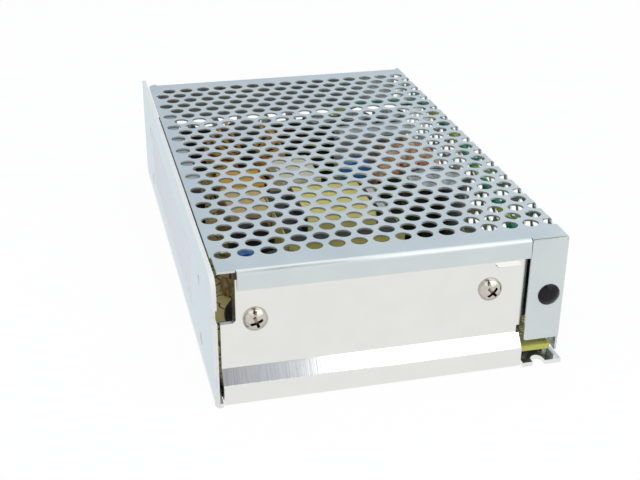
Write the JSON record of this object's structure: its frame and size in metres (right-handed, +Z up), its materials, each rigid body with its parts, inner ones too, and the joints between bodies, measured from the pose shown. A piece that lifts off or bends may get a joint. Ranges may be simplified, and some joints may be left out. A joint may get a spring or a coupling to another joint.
{
  "type": "switching power supply",
  "caption": "Enclosed power supply: a folded aluminium chassis with a joggled end wall under a perforated steel cover, with board, wound parts and a screw terminal strip.",
  "frame": {"origin": "middle of the underside of the case", "axes": "+Y along the case towards the terminals, +Z up from the floor, -X is the solid left wall"},
  "size_m": [0.097, 0.159, 0.038],
  "materials": {
    "aluminium_sheet": "bare mill finish",
    "galvanised_sheet": "zinc coated, fine grain",
    "nickel_steel": "nickel plated",
    "tinned_metal": "tin plated",
    "brass_part": "turned brass",
    "black_nylon": "smooth black",
    "clear_film": "milky film",
    "board_laminate": "tan laminate",
    "dark_film": "black film",
    "pad_rubber": "grey silicone",
    "black_moulding": "black moulding",
    "blue_moulding": "blue moulding",
    "cream_moulding": "cream moulding",
    "green_lens": "tinted lens",
    "clear_glass": "clear",
    "dark_ferrite": "dull ferrite",
    "enamelled_wire": "enamelled copper",
    "bright_wire": "enamelled copper",
    "yellow_box": "gold case",
    "tan_box": "tan case",
    "blue_coating": "dipped coating",
    "dark_coating": "dipped coating",
    "red_coating": "dipped coating",
    "can_aluminium": "drawn can",
    "black_sleeve": "shrink sleeve",
    "yellow_tape": "winding tape",
    "yellow_core": "painted powder core",
    "tan_body": "lacquered body",
    "earth_insulation": "green and yellow insulation"
  },
  "bodies": {
    "case": {"chassis": "aluminium_sheet", "heat_spreader": "aluminium_sheet", "rectifier_heatsink": "aluminium_sheet", "top_cover": "galvanised_sheet", "end_wall_screws": "nickel_steel", "cover_screws": "nickel_steel", "board_screws": "nickel_steel", "transistor_screws": "nickel_steel", "rectifier_screw": "nickel_steel", "terminal_screws": "nickel_steel", "terminal_clamps": "nickel_steel", "transistor_tabs": "tinned_metal", "rectifier_tab": "tinned_metal", "terminal_contacts": "tinned_metal", "fuse_caps": "tinned_metal", "fuse_clips": "tinned_metal", "earth_lug": "tinned_metal", "board_standoffs": "brass_part", "flap_rivet": "black_nylon", "insulation_film": "clear_film", "circuit_board": "board_laminate", "spreader_film": "dark_film", "transistor_pads": "pad_rubber", "transistor_bodies": "black_moulding", "rectifier_body": "black_moulding", "terminal_block": "black_moulding", "line_choke_base": "black_moulding", "output_choke_base": "black_moulding", "bridge_rectifier": "black_moulding", "transformer_bobbin": "black_moulding", "control_ic": "black_moulding", "optocoupler": "black_moulding", "trimmer_body": "blue_moulding", "film_capacitor": "cream_moulding", "output_led": "green_lens", "fuse_tube": "clear_glass", "line_choke_core": "dark_ferrite", "transformer_core": "dark_ferrite", "line_choke_windings": "enamelled_wire", "output_choke_winding": "bright_wire", "gold_capacitor": "yellow_box", "x_capacitor": "tan_box", "y_capacitors": "blue_coating", "thermistor": "dark_coating", "varistor": "dark_coating", "dipped_capacitor": "red_coating", "bulk_capacitor": "can_aluminium", "output_capacitors": "can_aluminium", "bulk_capacitor_sleeve": "black_sleeve", "output_capacitor_sleeves": "black_sleeve", "small_capacitors": "black_sleeve", "transformer_winding": "yellow_tape", "output_choke_core": "yellow_core", "resistors": "tan_body", "earth_lead": "earth_insulation"},
    "trimmer": {"trimmer_rotor": "cream_moulding"}
  },
  "joints": [
    {"name": "trimmer_turn", "type": "hinge", "parent": "case", "child": "trimmer", "pos_m": [0.0362, 0.073, 0.0092], "axis": [0, 1, 0], "range_deg": [-135, 135]}
  ]
}
